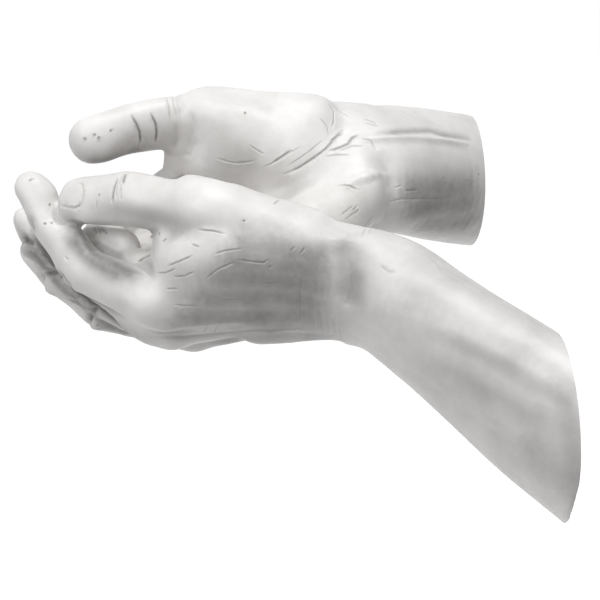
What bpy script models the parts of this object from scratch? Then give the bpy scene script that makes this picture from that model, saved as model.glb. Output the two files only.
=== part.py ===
# A wall sculpture: two cupped hands with forearms, cast in one piece of stone-filled resin.
# The wall is the plane Y = 0, the hands reach out along -Y and +Z is up.
# The casting's left hand is at +X and its right hand at -X.
# Hand points are written in the hand's own axes: toward the fingertips, toward the thumb, toward the palm.

import math

import bmesh
import bpy
from mathutils import Matrix, Vector

mm = 0.001

# Bone lengths in millimetres: knuckle to middle joint, to end joint, to the fingertip
finger_bones = {
    "index": (46, 28, 27),
    "middle": (51, 31, 24),
    "ring": (47, 29, 27),
    "little": (37, 22, 24),
}
thumb_bones = (47, 37, 33)

# Joint centres in millimetres from the middle of the wrist
knuckles = {
    "index": (92, 24, 2),
    "middle": (95, 4, 0),
    "ring": (89, -15, 2),
    "little": (81, -33, 8),
}
thumb_root = (24, 24, 15)

# Girth of each finger against the profile below
finger_girth = {"index": 1.14, "middle": 1.12, "ring": 1.08, "little": 0.95}
thumb_girth = 1.12

# Finger sections: place in joints from the knuckle, then half width, back and palm depth in millimetres
finger_profile = (
    (0.0, 11.5, 9.0, 12.0),
    (0.45, 10.2, 8.6, 11.0),
    (0.8, 9.8, 9.0, 9.2),
    (1.0, 10.2, 9.8, 8.8),
    (1.2, 9.4, 8.8, 8.8),
    (1.55, 8.7, 7.6, 9.0),
    (2.0, 8.9, 7.4, 7.6),
    (2.35, 8.4, 6.2, 7.8),
    (2.7, 7.8, 5.6, 7.2),
    (3.0, 6.8, 5.0, 6.2),
)
thumb_profile = (
    (0.0, 17.0, 13.0, 20.0),
    (0.5, 15.5, 12.0, 18.0),
    (1.0, 13.5, 14.0, 13.5),
    (1.45, 11.0, 9.6, 11.0),
    (2.0, 12.0, 9.6, 9.8),
    (2.4, 11.6, 7.6, 10.0),
    (2.75, 10.6, 6.6, 9.0),
    (3.0, 8.8, 5.6, 7.6),
)
tip_round = 9
digit_root = 16
root_cap = 3
digit_step = 3
joint_round = 6

# Poses: the middle of the wrist in millimetres, then whole degrees.
# A finger's row is its spread, the bends of its three joints and its twist.
# The thumb's row is its swing, its lift, the bends of its last two joints and its twist.
# The arm's row is the backward bend of the wrist and its lean toward the thumb.
# The arm's end has a half height and a half width, in millimetres.
left_pose = {
    "side": 1,
    "wrist": (35, -72, -12),
    "turn": -5,
    "pitch": -17,
    "roll": 46,
    "index": (-24, 47, 27, 11, -19),
    "middle": (-4, 42, 16, 12, 2),
    "ring": (-5, 31, 19, 8, -4),
    "little": (5, 21, 22, 15, -3),
    "thumb": (19, 31, 21, 10, -20),
    "arm": (55, 6),
    "arm_end_half": (40, 26),
}
right_pose = {
    "side": -1,
    "wrist": (-34, -61, 13),
    "turn": 2,
    "pitch": -20,
    "roll": 39,
    "index": (-5, 26, 66, 32, 42),
    "middle": (-4, 32, 80, 32, 36),
    "ring": (0, 36, 82, 30, 28),
    "little": (0, 40, 70, 30, 20),
    "thumb": (21, 18, 21, 1, 13),
    "arm": (61, 7),
    "arm_end_half": (34, 30),
}

# Palm: each ray's half width and depths at the wrist end and at the knuckle, in millimetres
ray_root_spread = 0.5
ray_root_forward = 14
ray_section = ((12.5, 16.0, 14.0), (12.5, 9.5, 13.0))
ray_step = 6
ray_cap = 5
ray_round = 12
web_forward = 17
web_half_width = 9
web_half_depth = 7

# Mounds of the palm and of the back: hand points with a radius each, in millimetres
mounds = {
    "little_side": ((-2, -14, 8, 15), (16, -20, 13, 17), (36, -25, 13, 17), (60, -31, 13, 15), (80, -33, 10, 11)),
    "wrist_side": ((-16, 8, -4, 17), (6, 16, 4, 19), (26, 20, 10, 16)),
    "wrist_back": ((-14, 4, -10, 20), (10, 6, -9, 20), (38, 4, -5, 17), (62, 0, -2, 14)),
    "thumb_back": ((-14, 14, 0, 14), (8, 22, 4, 15), (26, 26, 12, 15)),
    "thumb_cleft": ((12, 20, 6, 15), (40, 27, 12, 18), (64, 31, 17, 18), (84, 30, 15, 13)),
    "thumb_fold": ((20, 7, 18, 15), (46, 13, 25, 16), (68, 19, 25, 14), (82, 22, 20, 11)),
    "palm_middle": ((-4, -4, 6, 14), (18, -4, 11, 16), (42, -6, 11, 15), (66, -4, 8, 12)),
}
mound_step = 3
mound_round = 8
# The ball of the thumb: place along the thumb's first bone, then inward, toward the palm and radius
thumb_ball = ((-0.5, 6, -4, 11), (0.0, 8, 0, 19), (0.45, 9, 3, 20), (0.85, 6, 3, 17), (1.15, 2, 1, 14))
# The skin between thumb and index: how far it runs past their knuckles, its rise and its half depths
thumb_web_reach = 22
index_web_reach = 8
thumb_web_rise = 8
thumb_web_bulge = 7
thumb_web_depth = (19, 12)
thumb_web_places = (0.02, 0.25, 0.5, 0.75, 0.94, 1)
thumb_web_cap = 3

# Forearm: half width and half depth at the wrist in millimetres, and how far its end leans outward
wrist_half = (33, 27)
arm_end_lean = 0.25
arm_overlap = 26
arm_past_wall = 30
arm_step = 5
arm_cap = 8
wrist_round = 20
arm_round = 24

# Casting
voxel = 1.5
smoothing_rounds = 10
casting_triangles = 10000
wall_reach = 600

# Hangers: one sawtooth hanger in a shallow recess in the back of each forearm, in millimetres
hanger_length = 46
hanger_height = 11
hanger_thickness = 1.0
hanger_standoff = 1.6
hanger_foot = 9
hanger_bend = 2
tooth_pitch = 3
tooth_depth = 1.8
recess_margin = 2
nail_room = 6
recess_depth = 3.4
screw_shank = 2.4
screw_head = 5.4
screw_head_height = 0.9
screw_length = 12
clearance = 0.3

casting_colour = (0.74, 0.73, 0.71)
steel_colour = (0.55, 0.55, 0.53)
round_segments = 20


def clear_scene():
    for item in list(bpy.data.objects):
        bpy.data.objects.remove(item, do_unlink=True)


def finish(name, colour, roughness, metallic):
    material = bpy.data.materials.new(name)
    material.use_nodes = True
    shader = material.node_tree.nodes["Principled BSDF"]
    shader.inputs["Base Color"].default_value = (*colour, 1)
    shader.inputs["Roughness"].default_value = roughness
    shader.inputs["Metallic"].default_value = metallic
    return material


def object_from(name, body, material=None):
    # Turns a bmesh in millimetres into an object in metres
    bmesh.ops.scale(body, vec=(mm, mm, mm), verts=body.verts)
    bmesh.ops.recalc_face_normals(body, faces=body.faces)
    mesh = bpy.data.meshes.new(name)
    body.to_mesh(mesh)
    body.free()
    item = bpy.data.objects.new(name, mesh)
    bpy.context.scene.collection.objects.link(item)
    if material:
        mesh.materials.append(material)
    return item


def hide_cutter(item):
    item.hide_render = True
    item.display_type = "WIRE"
    return item


def cut(item, cutter):
    boolean = item.modifiers.new(cutter.name, "BOOLEAN")
    boolean.operation = "DIFFERENCE"
    boolean.solver = "EXACT"
    boolean.object = cutter


def turned(vector, axis, degrees):
    return Matrix.Rotation(math.radians(degrees), 3, axis) @ vector


def hand_axes(pose):
    # The hand starts flat, palm up and fingers along -Y, then it is pitched, turned and rolled
    side = pose["side"]
    place = Matrix.Rotation(math.radians(side * pose["turn"]), 3, "Z")
    place = place @ Matrix.Rotation(math.radians(-pose["pitch"]), 3, "X")
    forward = place @ Vector((0, -1, 0))
    palm = turned(place @ Vector((0, 0, 1)), forward, side * pose["roll"])
    thumbward = side * palm.cross(forward)
    return forward, thumbward, palm


def chain(start, direction, bend_axis, bones, bends):
    # Joint centres of a finger or thumb, bent joint by joint about one axis
    points = [start]
    bend = 0
    for bone, step in zip(bones, bends):
        bend += step
        points.append(points[-1] + turned(direction, bend_axis, bend) * bone)
    return points


def skeleton(pose):
    forward, thumbward, palm = hand_axes(pose)
    side = pose["side"]
    wrist = Vector(pose["wrist"])

    def at(place):
        return wrist + forward * place[0] + thumbward * place[1] + palm * place[2]

    bones = {"at": at, "wrist": wrist, "axes": (forward, thumbward, palm)}
    for name, lengths in finger_bones.items():
        spread, first, second, third, twist = pose[name]
        direction = turned(forward, palm, side * spread)
        axis = turned(direction.cross(palm).normalized(), direction, side * twist)
        points = chain(at(knuckles[name]), direction, axis, lengths, (first, second, third))
        bones[name] = (points, axis)
    swing, lift, first, second, twist = pose["thumb"]
    swing, lift, twist = (math.radians(angle) for angle in (swing, lift, twist))
    flat = forward * math.cos(swing) + thumbward * math.sin(swing)
    direction = flat * math.cos(lift) + palm * math.sin(lift)
    toward = palm * math.sin(twist) - thumbward * math.cos(twist)
    axis = direction.cross(toward).normalized()
    bones["thumb"] = (chain(at(thumb_root), direction, axis, thumb_bones, (0, first, second)), axis)
    back_bend, lean = pose["arm"]
    arm = turned(-forward, forward.cross(palm), back_bend)
    arm = (arm + thumbward * math.tan(math.radians(lean))).normalized()
    bones["arm"] = arm
    bones["arm_end"] = wrist - arm * (wrist.y / arm.y)
    bones["arm_end_half"] = pose["arm_end_half"]
    return bones


def blend(rows, place):
    # Reads a table of sections at any place between its rows, eased from row to row
    for low, high in zip(rows, rows[1:]):
        if place <= high[0]:
            share = max(0.0, (place - low[0]) / (high[0] - low[0]))
            share = share * share * (3 - 2 * share)
            return [a + (b - a) * share for a, b in zip(low[1:], high[1:])]
    return rows[-1][1:]


def along(points, distance):
    # The point and the joint count at a distance along a chain of joints
    for count, (a, b) in enumerate(zip(points, points[1:])):
        length = (b - a).length
        if distance <= length or count == len(points) - 2:
            share = distance / length
            return a.lerp(b, share), count + share
        distance -= length


def route(points, step, window):
    # Samples along a chain with its corners rounded by a moving average
    total = sum((b - a).length for a, b in zip(points, points[1:]))
    count = math.ceil(total / step)
    samples = []
    for index in range(count + 1):
        distance = total * index / count
        reach = min(window, distance, total - distance)
        spots = [along(points, distance + reach * part / 2)[0] for part in (-2, -1, 0, 1, 2)]
        middle = sum(spots, Vector()) / len(spots)
        samples.append((middle, along(points, distance)[1], total - distance))
    return samples


def ring(body, centre, side, palm, wide, back, front):
    verts = bmesh.ops.create_circle(body, segments=round_segments, radius=1)["verts"]
    edges = list({edge for vert in verts for edge in vert.link_edges})
    for vert in verts:
        x, y, _ = vert.co
        vert.co = centre + side * x * wide + palm * y * (front if y > 0 else back)
    return edges


def limb(body, sections):
    # Skins a row of sections: centre, side axis, palm axis, half width, back depth, palm depth
    rings = [ring(body, *section) for section in sections]
    for near, far in zip(rings, rings[1:]):
        bmesh.ops.bridge_loops(body, edges=near + far)
    bmesh.ops.contextual_create(body, geom=rings[0])
    bmesh.ops.contextual_create(body, geom=rings[-1])


def dome(left_over, length):
    # Share of the full section where a limb closes to a round end
    if left_over >= length:
        return 1.0
    share = max(0.0, left_over / length)
    return max(0.08, math.sqrt(share * (2 - share)))


def run_at(samples, index):
    before = samples[max(0, index - 1)][0]
    after = samples[min(len(samples) - 1, index + 1)][0]
    return (after - before).normalized()


def digit(body, points, root, axis, profile, girth):
    # A finger or thumb, which starts inside the palm along the direction of its root
    behind = points[0] - root * digit_root
    samples = route([behind, *points], digit_step, joint_round)
    total = samples[0][2]
    sections = []
    for index, (centre, place, left_over) in enumerate(samples):
        palm = axis.cross(run_at(samples, index)).normalized()
        share = girth * dome(left_over, tip_round) * dome(total - left_over + root_cap, digit_root)
        sections.append((centre, axis, palm, *(size * share for size in blend(profile, place - 1))))
    limb(body, sections)


def mound(body, places, at, axes):
    # A soft round form through places that each carry a radius
    forward, thumbward, palm = axes
    points = [at(place[:3]) for place in places]
    rows = [(index, place[3]) for index, place in enumerate(places)]
    first, last = rows[0][1], rows[-1][1]
    points[0] -= (points[1] - points[0]).normalized() * first / 2
    points[-1] += (points[-1] - points[-2]).normalized() * last / 2
    samples = route(points, mound_step, mound_round)
    total = samples[0][2]
    sections = []
    for centre, place, left_over in samples:
        radius = blend(rows, place)[0] * dome(left_over, last) * dome(total - left_over, first)
        sections.append((centre, thumbward, palm, radius, radius, radius))
    limb(body, sections)


def ball_of_thumb(body, bones):
    forward, thumbward, palm = bones["axes"]
    root, knuckle = bones["thumb"][0][:2]
    places = []
    for share, inward, rise, radius in thumb_ball:
        centre = root.lerp(knuckle, share) - thumbward * inward + palm * rise
        places.append((*centre, radius))
    mound(body, places, Vector, bones["axes"])


def palm_rays(body, bones):
    # The four rays of the palm, and the skin between the roots of the fingers
    forward, thumbward, palm = bones["axes"]
    rows = [(place, *section) for place, section in enumerate(ray_section)]
    for x, y, z in knuckles.values():
        start = bones["at"]((ray_root_forward, y * ray_root_spread, z * ray_root_spread))
        sections = []
        for centre, share, left_over in route([start, bones["at"]((x, y, z))], ray_step, 0):
            closing = dome(left_over + ray_cap, ray_round)
            sections.append((centre, thumbward, palm, *(size * closing for size in blend(rows, share))))
        limb(body, sections)
    names = list(knuckles)
    for name, other in zip(names, names[1:]):
        points, others = bones[name][0], bones[other][0]
        run = (points[1] - points[0]).normalized()
        a = points[0] + run * web_forward
        b = others[0] + (others[1] - others[0]).normalized() * web_forward
        up = (b - a).cross(run).normalized()
        half = (web_half_width, web_half_depth, web_half_depth)
        limb(body, [(a.lerp(b, share), run, up, *half) for share in (0, 0.5, 1)])


def thumb_web(body, bones):
    # The skin between the thumb and the index finger
    thumb = bones["thumb"][0]
    x, y, z = knuckles["index"]
    bulge = bones["axes"][1] * thumb_web_bulge
    index_root = bones["at"]((0, y * ray_root_spread, 0)) + bulge
    index_knuckle = bones["at"]((x + index_web_reach, y, z + thumb_web_rise))
    reach = (thumb[1] - thumb[0]).length + thumb_web_reach
    low, high = thumb_web_depth
    sections = []
    for share in thumb_web_places:
        a = index_root.lerp(index_knuckle, share)
        b = along(thumb, reach * share)[0] + bulge * (1 - share)
        across = b - a
        up = across.cross(index_knuckle - index_root).normalized()
        depth = low + (high - low) * share
        depth *= dome(reach * (1 - share), high) * dome(reach * share + thumb_web_cap, low)
        sections.append((a.lerp(b, 0.5), across.normalized(), up, across.length / 2, depth, depth))
    limb(body, sections)


def forearm(body, bones):
    # From the palm round the wrist to past the wall, where its section stands nearly upright
    forward, thumbward, palm = bones["axes"]
    arm, wrist = bones["arm"], bones["wrist"]
    length = (bones["arm_end"] - wrist).length
    start = wrist + forward * arm_overlap
    samples = route([start, wrist, wrist + arm * (length + arm_past_wall)], arm_step, wrist_round)
    upright = Vector((math.copysign(arm_end_lean, wrist.x), 0, 1))
    rows = ((0, *wrist_half, *thumbward), (length, *bones["arm_end_half"], *upright))
    sections = []
    for index, (centre, _, _) in enumerate(samples):
        run = run_at(samples, index)
        wide, deep, *side = blend(rows, max(0.0, (centre - wrist).dot(arm)))
        side = Vector(side)
        side = (side - run * side.dot(run)).normalized()
        closing = dome((centre - start).length + arm_cap, arm_round)
        sections.append((centre, side, run.cross(side), wide * closing, deep * closing, deep * closing))
    limb(body, sections)


def hand(body, pose):
    bones = skeleton(pose)
    for name in finger_bones:
        points, axis = bones[name]
        digit(body, points, bones["axes"][0], axis, finger_profile, finger_girth[name])
    points, axis = bones["thumb"]
    digit(body, points, (points[1] - points[0]).normalized(), axis, thumb_profile, thumb_girth)
    palm_rays(body, bones)
    for places in mounds.values():
        mound(body, places, bones["at"], bones["axes"])
    ball_of_thumb(body, bones)
    thumb_web(body, bones)
    forearm(body, bones)
    return bones


def evaluated(item):
    # The mesh with its modifiers applied
    graph = bpy.context.evaluated_depsgraph_get()
    graph.update()
    return bpy.data.meshes.new_from_object(item.evaluated_get(graph))


def keep_outer_skin(mesh):
    # Hollows that overlapping limbs seal in are filled: only the largest skin stays
    body = bmesh.new()
    body.from_mesh(mesh)
    unseen = set(body.verts)
    skins = []
    while unseen:
        front = [unseen.pop()]
        skin = list(front)
        while front:
            vert = front.pop()
            for edge in vert.link_edges:
                other = edge.other_vert(vert)
                if other in unseen:
                    unseen.remove(other)
                    front.append(other)
                    skin.append(other)
        skins.append(skin)
    skins.sort(key=len)
    for skin in skins[:-1]:
        bmesh.ops.delete(body, geom=skin, context="VERTS")
    bmesh.ops.triangulate(body, faces=body.faces)
    body.to_mesh(mesh)
    body.free()


def wall_cutter():
    # Everything behind the wall plane, larger than the sculpture
    body = bmesh.new()
    place = Matrix.Translation((0, wall_reach / 2, 0))
    bmesh.ops.create_cube(body, size=wall_reach, matrix=place)
    return hide_cutter(object_from("wall_cutter", body))


def box(name, centre, size):
    body = bmesh.new()
    place = Matrix.Translation(centre) @ Matrix.Diagonal((*size, 1))
    bmesh.ops.create_cube(body, size=1, matrix=place)
    return hide_cutter(object_from(name, body))


def rod(name, end, radius, length):
    # A cutter that runs from its end toward -Y
    body = bmesh.new()
    place = Matrix.Translation(end - Vector((0, length / 2, 0))) @ Matrix.Rotation(math.pi / 2, 4, "X")
    bmesh.ops.create_cone(
        body, cap_ends=True, segments=round_segments, radius1=radius, radius2=radius, depth=length, matrix=place
    )
    return hide_cutter(object_from(name, body))


def outline(points, thickness, drop):
    # A flat plate: an outline of points, thickened along the drop direction
    body = bmesh.new()
    face = body.faces.new([body.verts.new(point) for point in points])
    grown = bmesh.ops.extrude_face_region(body, geom=[face])["geom"]
    verts = [part for part in grown if isinstance(part, bmesh.types.BMVert)]
    bmesh.ops.translate(body, vec=Vector(drop) * thickness, verts=verts)
    return body


def screw_places(middle):
    reach = hanger_length / 2 - hanger_foot / 2
    return [middle + Vector((reach * step, 0, 0)) for step in (-1, 1)]


def recess(hands, name, middle):
    # The recess lies open at the wall plane and leaves room below the teeth for the nail
    width = hanger_length + 2 * recess_margin
    height = hanger_height + recess_margin + nail_room
    centre = middle + Vector((0, 0, (recess_margin - nail_room) / 2))
    cut(hands, box(f"{name}_recess", centre, (width, 2 * recess_depth, height)))
    radius = screw_shank / 2 + clearance
    depth = recess_depth - clearance - hanger_thickness + screw_length + clearance
    for count, place in enumerate(screw_places(middle), 1):
        cut(hands, rod(f"{name}_screw_hole_{count}", place, radius, depth))


def hanger(name, middle, material):
    # A steel strip whose middle stands off the recess floor, with teeth along its lower edge
    floor = -(recess_depth - clearance)
    half, inner = hanger_length / 2, hanger_length / 2 - hanger_foot
    raised = inner - hanger_bend
    low = ((-half, 0), (-inner, 0), (-raised, hanger_standoff), (raised, hanger_standoff), (inner, 0), (half, 0))
    high = [(x, y + hanger_thickness) for x, y in reversed(low)]
    top = hanger_height / 2
    points = [middle + Vector((x, floor + y, top)) for x, y in (*low, *high)]
    strip = object_from(name, outline(points, hanger_height, (0, 0, -1)), material)
    teeth = int(2 * raised / tooth_pitch)
    start = -teeth * tooth_pitch / 2
    zigzag = [(start + tooth_pitch * step / 2, tooth_depth * (step % 2)) for step in range(2 * teeth + 1)]
    edge = [(start, -1), *[(x, y - 0.01) for x, y in zigzag], (-start, -1)]
    cutter = [middle + Vector((x, 1, z - hanger_height / 2)) for x, z in edge]
    cut(strip, hide_cutter(object_from(f"{name}_teeth", outline(cutter, recess_depth + 2, (0, -1, 0)))))
    for count, place in enumerate(screw_places(middle), 1):
        radius = screw_shank / 2 + clearance
        cut(strip, rod(f"{name}_hole_{count}", place, radius, 2 * recess_depth))


def screw(name, place, material):
    # A pan-head screw turned about its axis, whose head bears on the hanger's foot
    seat = place - Vector((0, recess_depth - 2 * clearance - hanger_thickness, 0))
    shank, head = screw_shank / 2, screw_head / 2
    profile = (
        (0, -screw_length),
        (shank, -screw_length),
        (shank, 0),
        (head, 0),
        (head, screw_head_height),
        (0, screw_head_height),
    )
    body = bmesh.new()
    verts = [body.verts.new((x, y, 0)) for x, y in profile]
    edges = [body.edges.new(pair) for pair in zip(verts, verts[1:])]
    bmesh.ops.spin(body, geom=verts + edges, axis=(0, 1, 0), angle=2 * math.pi, steps=round_segments)
    bmesh.ops.remove_doubles(body, verts=body.verts, dist=clearance / 10)
    bmesh.ops.translate(body, vec=seat, verts=body.verts)
    object_from(name, body, material)


def casting(material):
    body = bmesh.new()
    ends = [hand(body, pose)["arm_end"] for pose in (left_pose, right_pose)]
    item = object_from("cupped_hands", body, material)
    remesh = item.modifiers.new("one skin", "REMESH")
    remesh.mode = "VOXEL"
    remesh.voxel_size = voxel * mm
    skin = evaluated(item)
    keep_outer_skin(skin)
    item.modifiers.clear()
    item.data = skin
    smooth = item.modifiers.new("softened", "SMOOTH")
    smooth.factor = 0.5
    smooth.iterations = round(smoothing_rounds)
    decimate = item.modifiers.new("fewer faces", "DECIMATE")
    decimate.ratio = casting_triangles / len(skin.polygons)
    decimate.use_collapse_triangulate = True
    cut(item, wall_cutter())
    for side, end in zip(("left", "right"), ends):
        recess(item, side, end)
    return ends


clear_scene()
arm_ends = casting(finish("cast stone resin", casting_colour, 0.55, 0.0))
steel = finish("zinc plated steel", steel_colour, 0.35, 1.0)
for side, end in zip(("left", "right"), arm_ends):
    hanger(f"{side}_hanger", end, steel)
    for count, place in enumerate(screw_places(end), 1):
        screw(f"{side}_hanger_screw_{count}", place, steel)
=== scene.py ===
import math

import bmesh
import bpy
import numpy as np
from mathutils import Matrix, Vector
from mathutils.bvhtree import BVHTree
from mathutils.kdtree import KDTree


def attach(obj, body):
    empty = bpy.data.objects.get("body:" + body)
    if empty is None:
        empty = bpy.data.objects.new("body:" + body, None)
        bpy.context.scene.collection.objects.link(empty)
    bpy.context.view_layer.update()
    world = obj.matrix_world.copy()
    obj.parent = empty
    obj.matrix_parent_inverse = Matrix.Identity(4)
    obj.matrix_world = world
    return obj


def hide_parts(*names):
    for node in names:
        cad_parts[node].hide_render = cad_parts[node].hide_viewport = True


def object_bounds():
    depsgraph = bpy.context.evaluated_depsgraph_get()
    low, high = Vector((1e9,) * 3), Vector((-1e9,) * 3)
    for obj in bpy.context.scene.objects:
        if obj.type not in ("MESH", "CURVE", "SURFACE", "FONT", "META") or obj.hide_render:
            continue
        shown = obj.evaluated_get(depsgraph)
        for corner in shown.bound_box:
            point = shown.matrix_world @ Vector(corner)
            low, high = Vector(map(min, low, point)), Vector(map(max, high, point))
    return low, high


# Two cupped hands with forearms, cast in one piece and hung on a wall.
# The wall is the plane Y = 0, the hands reach out along -Y and +Z is up.

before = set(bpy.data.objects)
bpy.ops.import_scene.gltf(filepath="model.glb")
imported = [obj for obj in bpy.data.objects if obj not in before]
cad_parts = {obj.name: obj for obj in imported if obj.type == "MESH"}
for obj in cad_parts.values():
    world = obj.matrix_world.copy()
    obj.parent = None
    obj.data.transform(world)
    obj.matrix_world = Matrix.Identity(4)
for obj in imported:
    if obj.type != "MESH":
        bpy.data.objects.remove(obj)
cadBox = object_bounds()
mm = 0.001


# Small helpers

def linearColour(code):
    # sRGB hex to the linear colour that the shaders take
    parts = [int(code[i:i + 2], 16) / 255 for i in (1, 3, 5)]
    return (*[c / 12.92 if c <= 0.04045 else ((c + 0.055) / 1.055) ** 2.4 for c in parts], 1)


def addNode(tree, kind, settings=None, links=None):
    # One shader node with its settings, and its inputs, by name or number, linked or set
    node = tree.nodes.new(kind)
    for name, value in (settings or {}).items():
        setattr(node, name, value)
    for name, source in (links or {}).items():
        if isinstance(source, bpy.types.NodeSocket):
            tree.links.new(source, node.inputs[name])
        else:
            node.inputs[name].default_value = source
    return node


def evaluatedMesh(item):
    graph = bpy.context.evaluated_depsgraph_get()
    graph.update()
    return bpy.data.meshes.new_from_object(item.evaluated_get(graph))


def meshOf(name, body):
    mesh = bpy.data.meshes.new(name)
    body.to_mesh(mesh)
    body.free()
    return mesh


def addObject(name, data):
    item = bpy.data.objects.new(name, data)
    bpy.context.scene.collection.objects.link(item)
    return item


# The camera stands where the photograph was taken, a little in front of the wall and above the hands

photoView = {
    "turn": 83.7,  # degrees round from straight in front of the wall
    "rise": 27.7,
    "distance": 880,  # mm from the point it looks at
    "target": (0, -99.4, -41),
    "focalPixels": 1826,
    "framePixels": 600,
    "sensorWidth": 36,
}


def addCamera():
    turn, rise = math.radians(photoView["turn"]), math.radians(photoView["rise"])
    out = Vector((math.sin(turn) * math.cos(rise), -math.cos(turn) * math.cos(rise), math.sin(rise)))
    data = bpy.data.cameras.new("photoCamera")
    data.sensor_width = photoView["sensorWidth"]
    data.lens = photoView["focalPixels"] / photoView["framePixels"] * data.sensor_width
    camera = addObject("photoCamera", data)
    camera.location = (Vector(photoView["target"]) + out * photoView["distance"]) * mm
    camera.rotation_euler = (-out).to_track_quat("-Z", "Y").to_euler()
    bpy.context.scene.camera = camera
    bpy.context.view_layer.update()
    return camera


def pixelRay(camera, pixel):
    # Start and direction, in millimetres, of the line of sight through a pixel of the photograph
    half = photoView["framePixels"] / 2
    x, y = pixel
    flat = Vector(((x - half) / photoView["focalPixels"], (half - y) / photoView["focalPixels"], -1))
    turn = camera.matrix_world.to_3x3()
    return camera.location / mm, (turn @ flat).normalized()


camera = addCamera()
print("camera placed")


# The hands' bones: lengths and places in millimetres, angles in degrees.
# Hand points run toward the fingertips, toward the thumb and toward the palm.

handSizes = {
    "fingerBones": {
        "index": (46, 28, 27),
        "middle": (51, 31, 24),
        "ring": (47, 29, 27),
        "little": (37, 22, 24),
    },
    "thumbBones": (47, 37, 33),
    "knuckles": {
        "index": (92, 24, 2),
        "middle": (95, 4, 0),
        "ring": (89, -15, 2),
        "little": (81, -33, 8),
    },
    "thumbRoot": (24, 24, 15),
    "fingerGirth": {"index": 1.14, "middle": 1.12, "ring": 1.08, "little": 0.95},
    "thumbGirth": 1.12,
    "digitRoot": 16,
    "tipRound": 9,
    # place in joints from the knuckle, half width, depth at the back, depth at the palm
    "fingerProfile": (
        (0.0, 11.5, 9.0, 12.0),
        (0.45, 10.2, 8.6, 11.0),
        (0.8, 9.8, 9.0, 9.2),
        (1.0, 10.2, 9.8, 8.8),
        (1.2, 9.4, 8.8, 8.8),
        (1.55, 8.7, 7.6, 9.0),
        (2.0, 8.9, 7.4, 7.6),
        (2.35, 8.4, 6.2, 7.8),
        (2.7, 7.8, 5.6, 7.2),
        (3.0, 6.8, 5.0, 6.2),
    ),
    "thumbProfile": (
        (0.0, 17.0, 13.0, 20.0),
        (0.5, 15.5, 12.0, 18.0),
        (1.0, 13.5, 14.0, 13.5),
        (1.45, 11.0, 9.6, 11.0),
        (2.0, 12.0, 9.6, 9.8),
        (2.4, 11.6, 7.6, 10.0),
        (2.75, 10.6, 6.6, 9.0),
        (3.0, 8.8, 5.6, 7.6),
    ),
    "rayRootSpread": 0.5,
    "rayRootForward": 14,
    "raySection": ((12.5, 16.0, 14.0), (12.5, 9.5, 13.0)),
    "webForward": 17,
    "webHalfDepth": 7,
    # mounds of the palm: places along each with its radius
    "mounds": {
        "littleSide": (
            (-2, -14, 8, 15), (16, -20, 13, 17), (36, -25, 13, 17), (60, -31, 13, 15), (80, -33, 10, 11)),
        "wristSide": ((-16, 8, -4, 17), (6, 16, 4, 19), (26, 20, 10, 16)),
        "wristBack": ((-14, 4, -10, 20), (10, 6, -9, 20), (38, 4, -5, 17), (62, 0, -2, 14)),
        "thumbBack": ((-14, 14, 0, 14), (8, 22, 4, 15), (26, 26, 12, 15)),
        "thumbCleft": ((12, 20, 6, 15), (40, 27, 12, 18), (64, 31, 17, 18), (84, 30, 15, 13)),
        "thumbFold": ((20, 7, 18, 15), (46, 13, 25, 16), (68, 19, 25, 14), (82, 22, 20, 11)),
        "palmMiddle": ((-4, -4, 6, 14), (18, -4, 11, 16), (42, -6, 11, 15), (66, -4, 8, 12)),
    },
    # ball of the thumb: place along its first bone, inward, toward the palm, radius
    "thumbBall": ((-0.5, 6, -4, 11), (0.0, 8, 0, 19), (0.45, 9, 3, 20), (0.85, 6, 3, 17), (1.15, 2, 1, 14)),
    # skin between thumb and index finger
    "thumbWebReach": 22,
    "indexWebReach": 8,
    "thumbWebRise": 8,
    "thumbWebBulge": 7,
    "thumbWebDepth": (19, 12),
    "wristHalf": (33, 27),
    "armEndLean": 0.25,
    "armOverlap": 26,
    "armPastWall": 30,
}
# each digit's row: spread or swing, bends joint by joint, twist; the thumb's second value lifts it
leftHand = {
    "side": 1,
    "wrist": (35, -72, -12),
    "turn": -5,
    "pitch": -17,
    "roll": 46,
    "index": (-24, 47, 27, 11, -19),
    "middle": (-4, 42, 16, 12, 2),
    "ring": (-5, 31, 19, 8, -4),
    "little": (5, 21, 22, 15, -3),
    "thumb": (19, 31, 21, 10, -20),
    "arm": (55, 6),
    "armEndHalf": (40, 26),
}
rightHand = {
    "side": -1,
    "wrist": (-34, -61, 13),
    "turn": 2,
    "pitch": -20,
    "roll": 39,
    "index": (-5, 26, 66, 32, 42),
    "middle": (-4, 32, 80, 32, 36),
    "ring": (0, 36, 82, 30, 28),
    "little": (0, 40, 70, 30, 20),
    "thumb": (21, 18, 21, 1, 13),
    "arm": (61, 7),
    "armEndHalf": (34, 30),
}
limbSettings = {
    "ringSegments": 24,
    # millimetres between rings, and the length over which corners are rounded
    "digitRoute": (2.5, 6),
    "moundRoute": (3, 8),
    "rayRoute": (6, 0),
    "armRoute": (5, 20),
    # how the ends close: millimetres already past the end, and the length of the dome
    "rayDome": (5, 12),
    "armDome": (8, 24),
    "rootPast": 3,
    "leastDome": 0.08,
    "moundEnd": 0.5,  # radii that a mound reaches past its first and last place
    "webHalfWidth": 9,
    "thumbWebPlaces": (0.02, 0.25, 0.5, 0.75, 0.94, 1),
}


def turned(vector, axis, degrees):
    return Matrix.Rotation(math.radians(degrees), 3, axis) @ vector


def chain(start, direction, bendAxis, bones, bends):
    points = [start]
    bend = 0
    for bone, step in zip(bones, bends):
        bend += step
        points.append(points[-1] + turned(direction, bendAxis, bend) * bone)
    return points


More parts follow.
